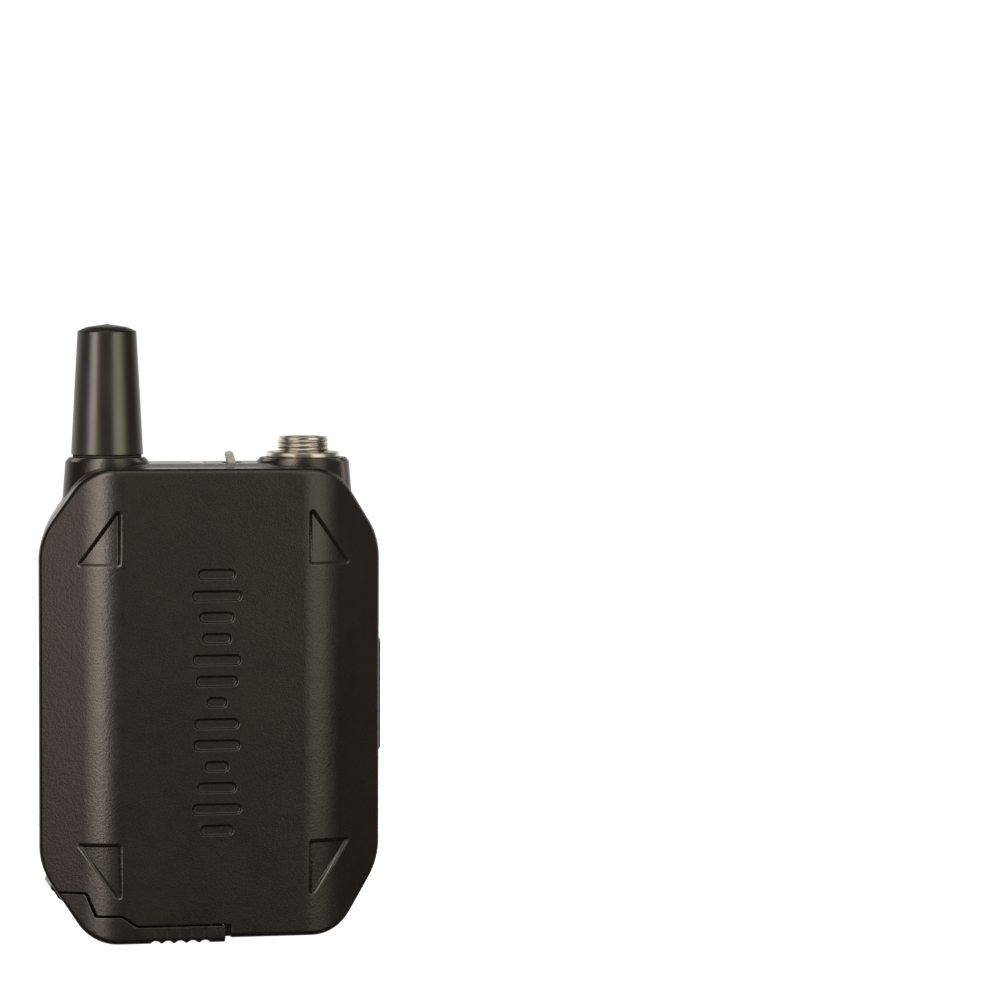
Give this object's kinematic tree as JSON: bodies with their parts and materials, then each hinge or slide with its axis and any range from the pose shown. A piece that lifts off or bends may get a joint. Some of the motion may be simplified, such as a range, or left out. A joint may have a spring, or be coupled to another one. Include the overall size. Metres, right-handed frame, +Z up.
{
  "type": "wireless guitar transmitter",
  "caption": "Eight-sided body-pack radio transmitter with stub antenna, threaded signal inlet, belt clip and hinged battery door.",
  "frame": {"origin": "under the middle of the whole object, at the height of its lowest point, the ribs of the battery door", "axes": "+Z up along the antenna, front cover facing -Y, +X to the right as seen from the front"},
  "size_m": [0.0652, 0.0292, 0.1158],
  "materials": {
    "powder_coat": "die-cast shell, warm black powder coat with a fine pebble grain",
    "antenna_rubber": "smooth satin black moulding",
    "black_plastic": "satin black moulded plastic",
    "soft_rubber": "matte black rubber",
    "nickel": "bright nickel plate",
    "gold_contact": "gold plated contact",
    "steel": "bright steel",
    "black_steel": "black oxide spring steel",
    "switch_grey": "sage grey moulded plastic",
    "clear_lens": "milky light pipe",
    "circuit_board": "green solder mask",
    "chip_black": "black epoxy",
    "copper": "enamelled copper winding",
    "battery_wrap": "dark grey battery case",
    "label_film": "blank satin label",
    "foam": "black foam"
  },
  "bodies": {
    "case": {"front_cover": "powder_coat", "rear_housing": "powder_coat", "antenna_sleeve": "antenna_rubber", "side_panel": "black_plastic", "battery_tray": "black_plastic", "contact_block": "black_plastic", "jack_insert": "black_plastic", "usb_tongue": "black_plastic", "power_switch_body": "black_plastic", "seam_gasket": "soft_rubber", "antenna_seal": "soft_rubber", "side_button_dome": "soft_rubber", "jack_barrel": "nickel", "jack_flange_nut": "nickel", "jack_lock_nut": "nickel", "jack_pin_1": "gold_contact", "jack_pin_2": "gold_contact", "jack_pin_3": "gold_contact", "jack_pin_4": "gold_contact", "antenna_pin": "gold_contact", "battery_contact_1": "gold_contact", "battery_contact_2": "gold_contact", "door_hinge_pin": "steel", "clip_pin": "steel", "clip_spring": "steel", "radio_shield": "steel", "radio_module": "steel", "usb_shell": "steel", "case_screw_1": "black_steel", "case_screw_2": "black_steel", "case_screw_3": "black_steel", "case_screw_4": "black_steel", "clip_screw_1": "black_steel", "clip_screw_2": "black_steel", "clip_bracket": "black_steel", "status_lens": "clear_lens", "status_led": "clear_lens", "main_board": "circuit_board", "processor_chip": "chip_black", "converter_chip": "chip_black", "side_button_switch": "chip_black", "antenna_coil": "copper", "charger_choke": "copper", "battery": "battery_wrap", "label_plate": "label_film"},
    "battery_door": {"battery_door": "powder_coat", "battery_pad": "foam", "door_bolt_spring": "steel"},
    "door_bolt": {"door_bolt": "black_plastic"},
    "power_switch_lever": {"power_switch_lever": "switch_grey"},
    "side_button": {"side_button": "soft_rubber"},
    "usb_flap": {"usb_flap": "soft_rubber"},
    "belt_clip": {"belt_clip": "black_steel"}
  },
  "joints": [
    {"name": "battery_door_hinge", "type": "hinge", "parent": "case", "child": "battery_door", "pos_m": [-0.02955, -0.0011, 0.0101], "axis": [0, 1, 0], "range_deg": [0, 100]},
    {"name": "door_bolt_slide", "type": "slide", "parent": "battery_door", "child": "door_bolt", "axis": [-1, 0, 0], "range_m": [0, 0.001], "stiffness_N_per_m": 150},
    {"name": "power_switch_tilt", "type": "hinge", "parent": "case", "child": "power_switch_lever", "pos_m": [0.00495, 0.0003, 0.0883], "axis": [0, 1, 0], "range_deg": [0, 26]},
    {"name": "side_button_press", "type": "slide", "parent": "case", "child": "side_button", "axis": [-1, 0, 0], "range_m": [0, 0.0005], "stiffness_N_per_m": 600},
    {"name": "usb_flap_hinge", "type": "hinge", "parent": "case", "child": "usb_flap", "pos_m": [0.03195, 0.0002, 0.03915], "axis": [0, 1, 0], "range_deg": [0, 95]},
    {"name": "belt_clip_hinge", "type": "hinge", "parent": "case", "child": "belt_clip", "pos_m": [-0.0004, 0.012, 0.0722], "axis": [1, 0, 0], "range_deg": [0, 15], "stiffness_Nm_per_rad": 0.3, "springref_deg": -8.59}
  ]
}
